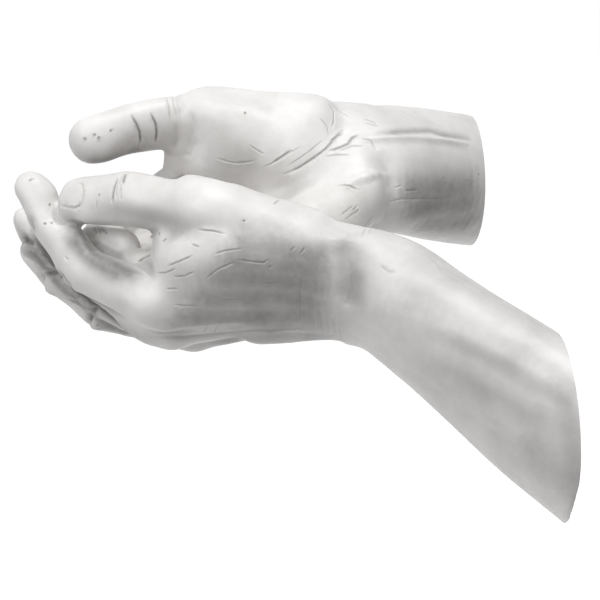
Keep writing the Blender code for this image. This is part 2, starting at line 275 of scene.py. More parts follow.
def skeleton(pose):
    # Joint centres, bend axes and the hand's own three axes for one pose
    side = pose["side"]
    place = Matrix.Rotation(math.radians(side * pose["turn"]), 3, "Z")
    place = place @ Matrix.Rotation(math.radians(-pose["pitch"]), 3, "X")
    forward = place @ Vector((0, -1, 0))
    palm = turned(place @ Vector((0, 0, 1)), forward, side * pose["roll"])
    thumbward = side * palm.cross(forward)
    wrist = Vector(pose["wrist"])

    def at(spot):
        return wrist + forward * spot[0] + thumbward * spot[1] + palm * spot[2]

    bones = {"at": at, "wrist": wrist, "axes": (forward, thumbward, palm)}
    for name, lengths in handSizes["fingerBones"].items():
        spread, first, second, third, twist = pose[name]
        direction = turned(forward, palm, side * spread)
        axis = turned(direction.cross(palm).normalized(), direction, side * twist)
        start = at(handSizes["knuckles"][name])
        bones[name] = (chain(start, direction, axis, lengths, (first, second, third)), axis)
    swing, lift, first, second, twist = pose["thumb"]
    swing, lift, twist = (math.radians(angle) for angle in (swing, lift, twist))
    flat = forward * math.cos(swing) + thumbward * math.sin(swing)
    direction = flat * math.cos(lift) + palm * math.sin(lift)
    toward = palm * math.sin(twist) - thumbward * math.cos(twist)
    axis = direction.cross(toward).normalized()
    start = at(handSizes["thumbRoot"])
    bones["thumb"] = (chain(start, direction, axis, handSizes["thumbBones"], (0, first, second)), axis)
    backBend, lean = pose["arm"]
    arm = turned(-forward, forward.cross(palm), backBend)
    arm = (arm + thumbward * math.tan(math.radians(lean))).normalized()
    bones["arm"] = arm
    bones["armEnd"] = wrist - arm * (wrist.y / arm.y)
    bones["armEndHalf"] = pose["armEndHalf"]
    return bones


# Limbs are rows of rings bridged into closed skins, which the remesh joins into one

def blend(rows, place):
    for low, high in zip(rows, rows[1:]):
        if place <= high[0]:
            share = max(0.0, (place - low[0]) / (high[0] - low[0]))
            share = share * share * (3 - 2 * share)
            return [a + (b - a) * share for a, b in zip(low[1:], high[1:])]
    return rows[-1][1:]


def along(points, distance):
    for count, (a, b) in enumerate(zip(points, points[1:])):
        length = (b - a).length
        if distance <= length or count == len(points) - 2:
            return a.lerp(b, distance / length), count + distance / length
        distance -= length


def route(points, step, window):
    # Samples along a chain, its corners rounded by a moving average
    total = sum((b - a).length for a, b in zip(points, points[1:]))
    count = math.ceil(total / step)
    samples = []
    for index in range(count + 1):
        distance = total * index / count
        reach = min(window, distance, total - distance)
        spots = [along(points, distance + reach * part / 2)[0] for part in (-2, -1, 0, 1, 2)]
        samples.append((sum(spots, Vector()) / len(spots), along(points, distance)[1], total - distance))
    return samples


def ring(body, centre, side, palm, wide, back, front):
    verts = bmesh.ops.create_circle(body, segments=limbSettings["ringSegments"], radius=1)["verts"]
    edges = list({edge for vert in verts for edge in vert.link_edges})
    for vert in verts:
        x, y, _ = vert.co
        vert.co = centre + side * x * wide + palm * y * (front if y > 0 else back)
    return edges


def limb(body, sections):
    rings = [ring(body, *section) for section in sections]
    for near, far in zip(rings, rings[1:]):
        bmesh.ops.bridge_loops(body, edges=near + far)
    bmesh.ops.contextual_create(body, geom=rings[0])
    bmesh.ops.contextual_create(body, geom=rings[-1])


def dome(leftOver, length):
    share = max(0.0, leftOver / length)
    return 1.0 if share >= 1 else max(limbSettings["leastDome"], math.sqrt(share * (2 - share)))


def runAt(samples, index):
    before = samples[max(0, index - 1)][0]
    after = samples[min(len(samples) - 1, index + 1)][0]
    return (after - before).normalized()


def digit(body, points, root, axis, profile, girth):
    behind = points[0] - root * handSizes["digitRoot"]
    samples = route([behind, *points], *limbSettings["digitRoute"])
    total = samples[0][2]
    sections = []
    for index, (centre, place, leftOver) in enumerate(samples):
        palm = axis.cross(runAt(samples, index)).normalized()
        fromRoot = total - leftOver + limbSettings["rootPast"]
        share = girth * dome(leftOver, handSizes["tipRound"]) * dome(fromRoot, handSizes["digitRoot"])
        sections.append((centre, axis, palm, *(size * share for size in blend(profile, place - 1))))
    limb(body, sections)


def mound(body, places, at, axes):
    _, thumbward, palm = axes
    points = [at(place[:3]) for place in places]
    rows = [(index, place[3]) for index, place in enumerate(places)]
    first, last = rows[0][1], rows[-1][1]
    points[0] -= (points[1] - points[0]).normalized() * first * limbSettings["moundEnd"]
    points[-1] += (points[-1] - points[-2]).normalized() * last * limbSettings["moundEnd"]
    samples = route(points, *limbSettings["moundRoute"])
    total = samples[0][2]
    sections = []
    for centre, place, leftOver in samples:
        radius = blend(rows, place)[0] * dome(leftOver, last) * dome(total - leftOver, first)
        sections.append((centre, thumbward, palm, radius, radius, radius))
    limb(body, sections)


def thumbBall(body, bones):
    _, thumbward, palm = bones["axes"]
    root, knuckle = bones["thumb"][0][:2]
    places = []
    for share, inward, rise, radius in handSizes["thumbBall"]:
        centre = root.lerp(knuckle, share) - thumbward * inward + palm * rise
        places.append((*centre, radius))
    mound(body, places, Vector, bones["axes"])


def palmRays(body, bones):
    _, thumbward, palm = bones["axes"]
    spread = handSizes["rayRootSpread"]
    past, length = limbSettings["rayDome"]
    rows = [(place, *section) for place, section in enumerate(handSizes["raySection"])]
    for x, y, z in handSizes["knuckles"].values():
        start = bones["at"]((handSizes["rayRootForward"], y * spread, z * spread))
        sections = []
        for centre, share, leftOver in route([start, bones["at"]((x, y, z))], *limbSettings["rayRoute"]):
            closing = dome(leftOver + past, length)
            sections.append((centre, thumbward, palm, *(size * closing for size in blend(rows, share))))
        limb(body, sections)
    names = list(handSizes["knuckles"])
    for name, other in zip(names, names[1:]):
        points, others = bones[name][0], bones[other][0]
        run = (points[1] - points[0]).normalized()
        a = points[0] + run * handSizes["webForward"]
        b = others[0] + (others[1] - others[0]).normalized() * handSizes["webForward"]
        up = (b - a).cross(run).normalized()
        wide, depth = limbSettings["webHalfWidth"], handSizes["webHalfDepth"]
        limb(body, [(a.lerp(b, share), run, up, wide, depth, depth) for share in (0, 0.5, 1)])


def thumbWeb(body, bones):
    thumb = bones["thumb"][0]
    x, y, z = handSizes["knuckles"]["index"]
    bulge = bones["axes"][1] * handSizes["thumbWebBulge"]
    root = bones["at"]((0, y * handSizes["rayRootSpread"], 0)) + bulge
    knuckle = bones["at"]((x + handSizes["indexWebReach"], y, z + handSizes["thumbWebRise"]))
    reach = (thumb[1] - thumb[0]).length + handSizes["thumbWebReach"]
    low, high = handSizes["thumbWebDepth"]
    sections = []
    for share in limbSettings["thumbWebPlaces"]:
        a = root.lerp(knuckle, share)
        b = along(thumb, reach * share)[0] + bulge * (1 - share)
        up = (b - a).cross(knuckle - root).normalized()
        closing = dome(reach * (1 - share), high) * dome(reach * share + limbSettings["rootPast"], low)
        depth = (low + (high - low) * share) * closing
        sections.append((a.lerp(b, 0.5), (b - a).normalized(), up, (b - a).length / 2, depth, depth))
    limb(body, sections)


def forearm(body, bones):
    forward, thumbward, _ = bones["axes"]
    arm, wrist = bones["arm"], bones["wrist"]
    past, domeLength = limbSettings["armDome"]
    length = (bones["armEnd"] - wrist).length
    start = wrist + forward * handSizes["armOverlap"]
    end = wrist + arm * (length + handSizes["armPastWall"])
    samples = route([start, wrist, end], *limbSettings["armRoute"])
    upright = Vector((math.copysign(handSizes["armEndLean"], wrist.x), 0, 1))
    rows = ((0, *handSizes["wristHalf"], *thumbward), (length, *bones["armEndHalf"], *upright))
    sections = []
    for index, (centre, _, _) in enumerate(samples):
        run = runAt(samples, index)
        wide, deep, *side = blend(rows, max(0.0, (centre - wrist).dot(arm)))
        side = Vector(side)
        side = (side - run * side.dot(run)).normalized()
        closing = dome((centre - start).length + past, domeLength)
        sections.append((centre, side, run.cross(side), wide * closing, deep * closing, deep * closing))
    limb(body, sections)


def addHand(body, bones):
    for name in handSizes["fingerBones"]:
        points, axis = bones[name]
        girth = handSizes["fingerGirth"][name]
        digit(body, points, bones["axes"][0], axis, handSizes["fingerProfile"], girth)
    points, axis = bones["thumb"]
    root = (points[1] - points[0]).normalized()
    digit(body, points, root, axis, handSizes["thumbProfile"], handSizes["thumbGirth"])
    palmRays(body, bones)
    for places in handSizes["mounds"].values():
        mound(body, places, bones["at"], bones["axes"])
    thumbBall(body, bones)
    thumbWeb(body, bones)
    forearm(body, bones)


castingSettings = {
    "voxel": 1.9,
    "smoothing": 8,
    "softness": 0.5,
}


def outerSkin(body):
    # Keeps the largest skin, without the hollows that overlapping limbs seal in
    unseen = set(body.verts)
    skins = []
    while unseen:
        front = [unseen.pop()]
        skin = list(front)
        while front:
            vert = front.pop()
            for edge in vert.link_edges:
                other = edge.other_vert(vert)
                if other in unseen:
                    unseen.remove(other)
                    front.append(other)
                    skin.append(other)
        skins.append(skin)
    skins.sort(key=len)
    for skin in skins[:-1]:
        bmesh.ops.delete(body, geom=skin, context="VERTS")


def roughCasting(hands):
    # The two hands as one smooth skin in millimetres, before any fine work
    body = bmesh.new()
    for bones in hands:
        addHand(body, bones)
    bmesh.ops.recalc_face_normals(body, faces=body.faces)
    item = addObject("rough", meshOf("rough", body))
    remesh = item.modifiers.new("one skin", "REMESH")
    remesh.mode = "VOXEL"
    remesh.voxel_size = castingSettings["voxel"]
    smooth = item.modifiers.new("softened", "SMOOTH")
    smooth.factor = castingSettings["softness"]
    smooth.iterations = castingSettings["smoothing"]
    skin = evaluatedMesh(item)
    bpy.data.objects.remove(item)
    body = bmesh.new()
    body.from_mesh(skin)
    outerSkin(body)
    return body


hands = [skeleton(leftHand), skeleton(rightHand)]
skin = roughCasting(hands)
print("rough casting", len(skin.faces), "faces")


# Fine work, in millimetres. Its lines are pixels of the photograph, and land on the skin that is seen there.
# Each set has a half width, a depth (a ridge has a negative one) and how much grey lies in it: grey wash in
# the creases and pits, and painted shade in the grooves between the fingers and on the sides that lie in
# shadow.

def lineSet(width, depth, washAndPaintedShade, *lines):
    return {"width": width, "depth": depth, "washAndPaintedShade": washAndPaintedShade, "lines": lines}


strokes = {
    "thumbNail": lineSet(0.4, 0.6, 0.25,
        ((61, 206), (67, 207), (75, 208), (80, 206), (82, 200), (83, 190), (82, 184), (76, 183))),
    "thumbNailEdge": lineSet(0.4, 0.15, 0.7,
        ((66, 207), (74, 208), (79, 206), (81, 202))),
    "jointLines": lineSet(0.5, 0.8, 0.75,
        ((126, 173), (124, 178), (123, 183)), ((117, 179), (114, 187), (113, 193), (112, 202)),
        ((132, 116), (137, 125), (140, 133), (141, 142)), ((151, 114), (156, 124), (157, 133), (156, 142)),
        ((138, 262), (145, 257), (150, 255))),
    "thumbRootFolds": lineSet(1.3, 0.6, 0.12,
        ((178, 95), (181, 107), (182, 116)), ((191, 111), (193, 125), (192, 138), (188, 150)),
        ((176, 125), (178, 138), (176, 148)), ((184, 154), (190, 155), (195, 142))),
    "webCreases": lineSet(0.38, 0.5, 0.55,
        ((168, 266), (178, 262), (192, 256)), ((157, 273), (165, 273), (175, 269)),
        ((174, 277), (185, 276), (194, 272)), ((207, 278), (219, 269), (233, 263)),
        ((216, 254), (225, 251), (241, 249)), ((240, 260), (252, 262), (264, 263), (268, 260)),
        ((191, 244), (199, 247)), ((199, 230), (213, 231), (225, 234)),
        ((175, 305), (187, 306), (200, 306)), ((167, 289), (178, 289)), ((166, 239), (163, 242)),
        ((291, 251), (295, 247)), ((300, 254), (305, 248)), ((274, 204), (279, 200))),
    "palmCreases": lineSet(0.5, 0.7, 0.55,
        ((285, 174), (299, 168), (314, 158), (326, 149), (334, 140), (343, 130)),
        ((330, 151), (339, 148), (348, 144), (352, 138), (359, 135)), ((331, 141), (342, 133)),
        ((273, 163), (285, 155), (291, 151))),
    "wristCreases": lineSet(0.4, 0.4, 0.35,
        ((326, 157), (336, 155), (349, 155)), ((329, 104), (334, 111), (334, 122), (332, 127)),
        ((333, 105), (340, 111), (348, 116)), ((365, 119), (373, 122), (378, 126)),
        ((367, 123), (376, 126)), ((361, 139), (371, 141), (376, 149)),
        ((336, 185), (348, 186), (359, 190)), ((343, 185), (352, 186)),
        ((218, 159), (233, 163), (254, 162)), ((250, 146), (263, 154)), ((401, 111), (412, 116)),
        ((390, 202), (402, 199), (417, 199), (453, 198)), ((395, 188), (401, 186)),
        ((405, 191), (417, 190)), ((371, 221), (364, 232), (361, 237)), ((359, 210), (355, 214)),
        ((357, 206), (353, 211))),
    "wristWrinkles": lineSet(0.45, 0.25, 0.12,
        ((303, 274), (301, 294), (301, 322)), ((313, 310), (316, 330)), ((320, 310), (324, 332)),
        ((327, 314), (331, 333)), ((335, 316), (336, 336)), ((340, 326), (342, 341)),
        ((350, 275), (351, 290), (347, 305))),
    "knuckleMarks": lineSet(0.4, 0.35, 0.4,
        ((69, 280), (73, 287)), ((79, 295), (84, 298)), ((65, 257), (68, 260)), ((203, 332), (208, 326)),
        ((214, 332), (217, 326))),
    "lowerEdge": lineSet(1.2, 1.2, 0.25,
        ((150, 338), (183, 338), (217, 335), (257, 332), (297, 331), (317, 332))),
    "wristHollow": lineSet(8, 2.2, 0.1,
        ((336, 238), (345, 262), (348, 280), (346, 296), (342, 314))),
    "wristFold": lineSet(3, 0.5, 0.1,
        ((335, 246), (344, 264), (348, 280), (346, 294), (343, 312))),
    "tendonGroove": lineSet(1.4, 0.9, 0.3,
        ((379, 134), (402, 132), (431, 131), (443, 135), (470, 140))),
    "tendon": lineSet(1.6, -1.0, 0,
        ((362, 139), (387, 138), (417, 138), (439, 140), (466, 144))),
    "heelEdge": lineSet(5, 1.2, 0.1,
        ((377, 152), (386, 167), (390, 180), (388, 196))),
    "heel": lineSet(12, -2.2, 0,
        ((362, 172), (368, 184))),
    "armRidges": lineSet(4, 0.9, 0.1,
        ((431, 340), (478, 361), (509, 378), (530, 391), (560, 404)),
        ((381, 361), (419, 380), (457, 408), (499, 439), (530, 454), (552, 475))),
    "armScuffs": lineSet(0.8, 0.2, 0.3,
        ((427, 253), (435, 261), (444, 270)), ((450, 276), (461, 283), (478, 293)),
        ((380, 265), (388, 271), (396, 272))),
    "indexDimple": lineSet(3.2, 0.8, 0.1,
        ((115, 304), (127, 313))),
    # grooves between the near fingers, whose full grey is partly wash in the groove and partly painted shade
    # of the gaps
    "fingerGaps": lineSet(1.9, 2.3, 1.0,
        ((31, 222), (35, 240), (46, 256), (57, 270), (68, 284), (80, 297),
        (97, 309), (112, 320), (128, 334), (142, 348)), ((18, 238), (26, 240), (34, 243)),
        ((42, 276), (50, 274), (57, 271)), ((86, 325), (90, 315), (96, 309))),
    "fineCreases": lineSet(0.32, 0.3, 0.4,
        ((222, 161), (240, 164), (256, 160)), ((262, 168), (280, 160), (300, 147)),
        ((288, 166), (309, 152), (322, 141)), ((340, 151), (352, 146), (363, 146)),
        ((320, 118), (327, 126), (329, 136)), ((362, 229), (373, 216)), ((367, 235), (377, 221)),
        ((341, 215), (353, 206)), ((345, 220), (358, 210)), ((246, 282), (262, 284), (284, 282)),
        ((210, 296), (226, 300), (248, 300)), ((96, 200), (97, 210)), ((116, 186), (117, 200)),
        ((121, 186), (121, 200)), ((166, 96), (169, 106), (170, 118)), ((172, 96), (174, 106), (176, 114))),
    "fingerFolds": lineSet(0.5, 0.6, 0.55,
        ((94, 227), (97, 233)), ((97, 226), (101, 233)), ((100, 226), (104, 232)), ((103, 228), (107, 234))),
}

pits = {
    "pinholes": lineSet(0.45, 0.7, 0.85,
        ((98, 326),), ((95, 135),), ((111, 131),), ((99, 138),), ((85, 139),), ((30, 180),), ((50, 205),),
        ((45, 224),), ((52, 223),), ((114, 174),), ((99, 195),), ((152, 237),), ((159, 234),), ((245, 113),),
        ((468, 181),), ((479, 175),), ((444, 178),), ((244, 221),), ((270, 267),)),
}
# Painted shade without any relief: grey laid where the sides face down or lie in shadow, on the near hand's
# side, under the thumb, inside the index finger, along the low strip, at the wrist, under the far thumb, palm
# and arm, on the near arm and on the lower fingers. On the near hand's side and the near arm's top, some of
# it is grey wash too.
paintedShadeAndWash = {
    "handSide": lineSet(9, 0, 0.68,
        ((222, 242), (260, 246), (310, 256), (336, 266)), ((208, 260), (260, 262), (310, 270), (338, 280)),
        ((196, 280), (260, 278), (310, 284), (338, 292)), ((182, 300), (240, 298), (300, 300), (334, 304)),
        ((170, 318), (240, 317), (300, 315), (334, 317))),
    "underThumb": lineSet(4, 0, 0.35,
        ((100, 206), (125, 209), (150, 216), (180, 226), (205, 236))),
    # painted shadow that the thumb casts on the index finger
    "indexInside": lineSet(4.5, 0, 0.85,
        ((68, 220), (79, 236), (91, 252), (106, 262), (128, 272), (145, 279)),
        ((66, 230), (78, 246), (92, 261), (108, 270), (130, 279))),
    "lowStrip": lineSet(4, 0, 0.5,
        ((200, 344), (240, 338), (300, 335), (335, 338))),
    "wristShade": lineSet(7, 0, 0.62,
        ((336, 234), (348, 252), (350, 276), (344, 306))),
    "farThumbUnder": lineSet(4, 0, 0.6,
        ((85, 160), (100, 163), (125, 155), (145, 147))),
    "farPalmLow": lineSet(7, 0, 0.25,
        ((200, 158), (230, 158), (262, 160))),
    # painted shade under the far forearm
    "farArmUnder": lineSet(9, 0, 0.68,
        ((396, 192), (440, 190), (482, 188)), ((400, 208), (440, 206), (482, 203)),
        ((412, 226), (440, 225), (480, 222))),
    "nearArmSide": lineSet(12, 0, 0.25,
        ((420, 345), (480, 378), (540, 415), (575, 440)), ((520, 430), (560, 470), (575, 500))),
    "nearArmTop": lineSet(14, 0, 0.24,
        ((400, 240), (450, 272), (520, 322), (560, 350)), ((385, 290), (450, 322), (540, 372))),
    "nearArmEnd": lineSet(8, 0, 0.4,
        ((558, 372), (571, 420), (577, 460), (572, 500))),
    # painted shade on the lower fingers, which lie in the hand's shadow
    "lowerFingers": lineSet(4.5, 0, 0.75,
        ((22, 228), (33, 250), (46, 268), (60, 287), (80, 303), (96, 317), (118, 329), (140, 338))),
}


def allPlaces(body):
    return np.array([vert.co for vert in body.verts])


def allNormals(body):
    body.normal_update()
    return np.array([vert.normal for vert in body.verts])


def allLinks(body):
    body.verts.index_update()
    return np.array([[vert.index for vert in edge.verts] for edge in body.edges])


def putPlaces(body, places):
    for vert, place in zip(body.verts, places):
        vert.co = place


def evenSteps(points, step):
    # Points at even steps along a line of pixels or of places
    points = np.array(points, dtype=float)
    if len(points) == 1:
        return points
    runs = np.concatenate([[0], np.cumsum(np.linalg.norm(np.diff(points, axis=0), axis=1))])
    count = max(2, math.ceil(runs[-1] / step) + 1)
    spots = np.linspace(0, runs[-1], count)
    return np.stack([np.interp(spots, runs, column) for column in points.T], axis=1)


pressing = {
    # in half widths: how far a line is felt, where its rim stands and how far its grey spreads, wash and
    # painted shade alike
    "reach": 3,
    "rimPlace": 2,
    "washAndShadeSpread": 1.2,
    "rimHeight": 0.2,
    "rimSharpness": 2,
    # skin that is turned away from the line is spared: gain and start over the cosine between them
    "facing": (2, -0.4),
    # share of the line that fades at each end, and the depth that is left there
    "fadeLength": 0.25,
    "endDepth": 0.35,
    # steps along a line of the photograph, in millimetres, and how many to a half width
    "leastStep": 0.4,
    "stepsInWidth": 3,
    # what a line made by rays needs: cosine at each hit, and share of rays that hit
    "leastCosine": 0.2,
    "leastHits": 0.7,
}


def seenLine(tree, pixels, step):
    # A line of pixels as places and normals of the skin that the camera sees there
    hits = []
    for pixel in evenSteps(pixels, step * photoView["focalPixels"] / photoView["distance"]):
        place, normal, _, _ = tree.ray_cast(*pixelRay(camera, pixel))
        if place:
            hits.append((*place, *normal))
    return np.array(hits)


def castLine(tree, rays, outward, most):
    # Places and normals where rays meet the skin, from inside or from just outside. A line that is
    # mostly buried in the other hand isn't made.
    hits = []
    for start, direction, reach in rays:
        place, normal, _, distance = tree.ray_cast(start, direction, reach)
        if place and normal.dot(direction) * outward > pressing["leastCosine"] and distance < most:
            hits.append((*place, *normal))
    return np.array(hits if len(hits) > pressing["leastHits"] * len(rays) else [])


def press(places, normals, washAndPaintedShade, hits, stroke):
    # Sinks or raises the skin along one line, and lays its grey in it: grey wash, and painted shade along the
    # lines that stand for shade
    if not len(hits):
        return
    width = stroke["width"]
    reach = pressing["reach"] * width
    low, high = hits[:, :3].min(axis=0) - reach, hits[:, :3].max(axis=0) + reach
    near = np.flatnonzero(np.all((places > low) & (places < high), axis=1))
    if not len(near):
        return
    gaps = np.linalg.norm(places[near][:, None] - hits[None, :, :3], axis=2)
    closest = gaps.argmin(axis=1)
    share = gaps.min(axis=1) / width
    gain, start = pressing["facing"]
    facing = np.clip(np.sum(normals[near] * hits[closest, 3:], axis=1) * gain + start, 0, 1)
    last = len(hits) - 1
    ends = np.minimum(closest, last - closest) / max(1, last * pressing["fadeLength"])
    fade = 1.0 if len(hits) == 1 else np.clip(pressing["endDepth"] + ends, 0, 1)
    rim = np.exp(-((share - pressing["rimPlace"]) ** 2) * pressing["rimSharpness"])
    shape = (np.exp(-share**2) - pressing["rimHeight"] * rim) * facing * fade
    places[near] -= normals[near] * (shape * stroke["depth"])[:, None]
    spread = np.exp(-((share / pressing["washAndShadeSpread"]) ** 2)) * facing * fade * stroke["washAndPaintedShade"]
    washAndPaintedShade[near] = np.maximum(washAndPaintedShade[near], spread)


nails = {
    "widthShare": 0.86,
    "outside": 13,
    "slack": 1.6,
    "step": 0.4,
    # across in half widths, then millimetres back from the fingertip's centre
    "fold": (
        (-1, 1), (-1.02, -4), (-0.95, -8), (-0.6, -10.5), (0, -11.5),
        (0.6, -10.5), (0.95, -8), (1.02, -4), (1, 1)),
    "edge": ((-0.9, 2.5), (-0.4, 4.2), (0, 4.6), (0.4, 4.2), (0.9, 2.5)),
    "stroke": {"width": 0.42, "depth": 0.5, "washAndPaintedShade": 0.3},
}


def nailLines(tree, bones, name):
    # The fold of skin round a nail, and the nail's free edge
    points, axis = bones[name]
    profile = handSizes["thumbProfile"] if name == "thumb" else handSizes["fingerProfile"]
    girth = handSizes["thumbGirth"] if name == "thumb" else handSizes["fingerGirth"][name]
    half = profile[-2][1] * girth * nails["widthShare"]
    most = profile[-2][1] * girth + nails["slack"]
    run = (points[3] - points[2]).normalized()
    palm = axis.cross(run).normalized()
    lines = []
    for shape in (nails["fold"], nails["edge"]):
        rays = []
        for across, back in evenSteps([(x * half, y) for x, y in shape], nails["step"]):
            start = points[3] + run * back + axis * across - palm * nails["outside"]
            rays.append((start, palm, nails["outside"]))
        hits = castLine(tree, rays, -1, nails["outside"])
        if len(hits):
            away = np.linalg.norm(np.cross(hits[:, :3] - np.array(points[3]), np.array(run)), axis=1)
            hits = hits if away.max() < most else hits[:0]
        lines.append(hits)
    return lines


jointCreases = {
    "palm": {"width": 0.4, "depth": 0.25, "washAndPaintedShade": 0.2},
    "back": {"width": 0.4, "depth": 0.3, "washAndPaintedShade": 0.25},
    # joint, millimetres along the finger, the arc's middle (0 palm, 180 back), half the arc, stroke
    "arcs": (
        (1, -1.4, 0, 70, "palm"),
        (1, 1.6, 0, 60, "palm"),
        (2, 0, 0, 65, "palm"),
        (1, -2.6, 180, 34, "back"),
        (1, -0.4, 180, 42, "back"),
        (1, 1.8, 180, 36, "back"),
        (2, -0.8, 180, 34, "back"),
        (2, 0.9, 180, 30, "back"),
    ),
    "fingerReach": 10.5,
    "thumbReach": 14,
    "degrees": 3,
}
# Lines of the palm, tendons and knuckles of the back: forward and thumbward places in each hand
handLines = {
    "reach": 40,
    "step": 0.6,
    "palm": lineSet(0.6, 0.7, 0.45,
        ((80, 30), (68, 16), (50, 6), (30, 2), (12, 4)), ((80, 28), (72, 10), (61, -8), (50, -24)),
        ((84, -2), (79, -14), (71, -28), (66, -38))),
    "tendons": lineSet(2.6, -0.7, 0,
        ((24, 8), (56, 16), (86, 22)), ((22, 3), (56, 4), (88, 4)), ((24, -3), (54, -10), (82, -14)),
        ((26, -8), (52, -22), (74, -30))),
    "knuckles": lineSet(5, -0.9, 0,
        *[(place[:2],) for place in handSizes["knuckles"].values()]),
}


def crease(tree, bones, name, arc):
    joint, shift, middle, half, kind = arc
    points, axis = bones[name]
    run = (points[joint + 1] - points[joint - 1]).normalized()
    palm = axis.cross(run).normalized()
    centre = points[joint] + run * shift
    rays = []
    for step in range(-half, half + 1, jointCreases["degrees"]):
        angle = math.radians(middle + step)
        rays.append((centre, palm * math.cos(angle) + axis * math.sin(angle), 2 * jointCreases["thumbReach"]))
    reach = jointCreases["thumbReach" if name == "thumb" else "fingerReach"]
    return castLine(tree, rays, 1, reach), jointCreases[kind]


def boneLines(tree, bones, near):
    # Every line that follows the bones of one hand, with its stroke. The near hand's thumbnail is
    # drawn from the photograph, and so are the far palm's creases.
    lines = []
    for name in ("thumb", *handSizes["fingerBones"]):
        if name != "thumb" or not near:
            lines += [(hits, nails["stroke"]) for hits in nailLines(tree, bones, name)]
        lines += [crease(tree, bones, name, arc) for arc in jointCreases["arcs"]]
    palm = bones["axes"][2]
    for kind, way in (("palm", 1), ("tendons", -1), ("knuckles", -1)):
        for line in handLines[kind]["lines"] if near or kind != "palm" else ():
            spots = evenSteps(line, handLines["step"])
            rays = [(bones["at"]((x, y, 0)), palm * way, handLines["reach"]) for x, y in spots]
            lines.append((castLine(tree, rays, 1, handLines["reach"]), handLines[kind]))
    return lines


def seenLines(tree, group):
    lines = []
    for stroke in group.values():
        step = max(pressing["leastStep"], stroke["width"] / pressing["stepsInWidth"])
        lines += [(seenLine(tree, pixels, step), stroke) for pixels in stroke["lines"]]
    return lines


shaping = {
    "strength": 0.7,
    # pixel of the photograph, radius in millimetres, then the move: right, up and toward the camera
    "moves": (
        ((97, 150), 13, (0, -3.8, 0)),
        ((140, 116), 12, (0, 1.0, 0)),
        ((132, 147), 8, (0, 1.8, 0)),
        ((168, 108), 10, (0, 2.2, 0)),
        ((77, 189), 8, (-4.0, 2.2, 0)),
        ((68, 200), 6, (-2.0, 0.5, 0)),
        ((66, 212), 8, (-1.8, -2.4, 0)),
        ((50, 188), 6, (2.2, 0, 0)),
        ((20, 190), 6, (-1.5, 0, 0)),
        ((122, 180), 14, (0, 1.4, 0)),
        ((94, 229), 7, (-4.6, 0.6, 0)),
        ((74, 233), 5, (1.6, 2.2, 0)),
        ((84, 214), 5, (0, -2.2, 0)),
        ((80, 246), 6, (1.8, 1.8, 0)),
        ((100, 264), 7, (1.4, 2.4, 0)),
        ((130, 284), 8, (0.8, 3.0, 0)),
        ((140, 336), 11, (0, -3.2, 0)),
        ((98, 321), 5, (-1.8, -3.2, 1.5)),
        ((53, 286), 4.5, (-2.8, -2.4, 1.5)),
        ((28, 251), 4.5, (-2.6, -0.8, 1.5)),
        ((76, 307), 5, (1.8, 2.8, -1.5)),
        ((40, 270), 4, (1.8, 1.5, -1.5)),
    ),
    # pixel of the photograph, ball's radius in millimetres, rounds
    "balls": (
        ((215, 300), 36, 60),
        ((280, 290), 36, 60),
        ((330, 280), 28, 40),
        ((170, 300), 20, 25),
        ((250, 165), 30, 50),
        ((305, 130), 26, 40),
        ((330, 170), 26, 40),
        ((390, 260), 24, 30),
        ((200, 190), 16, 15),
        ((192, 135), 20, 60),
        ((240, 150), 26, 50),
        ((180, 150), 12, 30),
        ((140, 332), 16, 90),
        ((118, 322), 9, 40),
    ),
}


def relax(places, links, centre, radius, rounds):
    # Evens the skin out in a ball round a centre, as a wet sponge does with clay
    weights = np.clip(1 - np.linalg.norm(places - centre, axis=1) / radius, 0, 1)
    weights = weights * weights * (3 - 2 * weights) * shaping["strength"]
    inside = weights[links[:, 0]] + weights[links[:, 1]] > 0
    near = links[inside]
    count = len(places)
    degree = np.maximum(1, np.bincount(near.ravel(), minlength=count))
    for _ in range(rounds):
        for axis in range(3):
            column = places[:, axis]
            total = np.bincount(near[:, 0], weights=column[near[:, 1]], minlength=count)
            total += np.bincount(near[:, 1], weights=column[near[:, 0]], minlength=count)
            places[:, axis] += weights * (total / degree - column)


def evenOut(body):
    tree = BVHTree.FromBMesh(body)
    places, links = allPlaces(body), allLinks(body)
    for pixel, radius, rounds in shaping["balls"]:
        place, _, _, _ = tree.ray_cast(*pixelRay(camera, pixel))
        if place:
            relax(places, links, np.array(place), radius, rounds)
    for pixel, radius, move in shaping["moves"]:
        place, _, _, _ = tree.ray_cast(*pixelRay(camera, pixel))
        if place:
            away = np.linalg.norm(places - np.array(place), axis=1) / radius
            places += np.exp(-away**2)[:, None] * np.array(camera.matrix_world.to_3x3() @ Vector(move))
    putPlaces(body, places)


fineSkin = {
    "width": 2.0,  # strokes up to this half width, in millimetres, need a finer skin
    "reaches": (2.4, 1.5),  # millimetres from the strokes, for each halving of the edges
    "roundings": 3,
    "softness": 0.5,
}


def splitNear(body, spots, reach):
    # Halves the edges near the spots, then rounds the new points off
    grid = KDTree(len(spots))
    for index, spot in enumerate(spots):
        grid.insert(spot, index)
    grid.balance()
    body.verts.index_update()
    near = [grid.find(vert.co)[2] < reach for vert in body.verts]
    edges = [edge for edge in body.edges if all(near[vert.index] for vert in edge.verts)]
    made = bmesh.ops.subdivide_edges(body, edges=edges, cuts=1, use_grid_fill=True)["geom_inner"]
    verts = [part for part in made if isinstance(part, bmesh.types.BMVert)]
    for _ in range(fineSkin["roundings"]):
        bmesh.ops.smooth_vert(
            body, verts=verts, factor=fineSkin["softness"], use_axis_x=True, use_axis_y=True, use_axis_z=True)


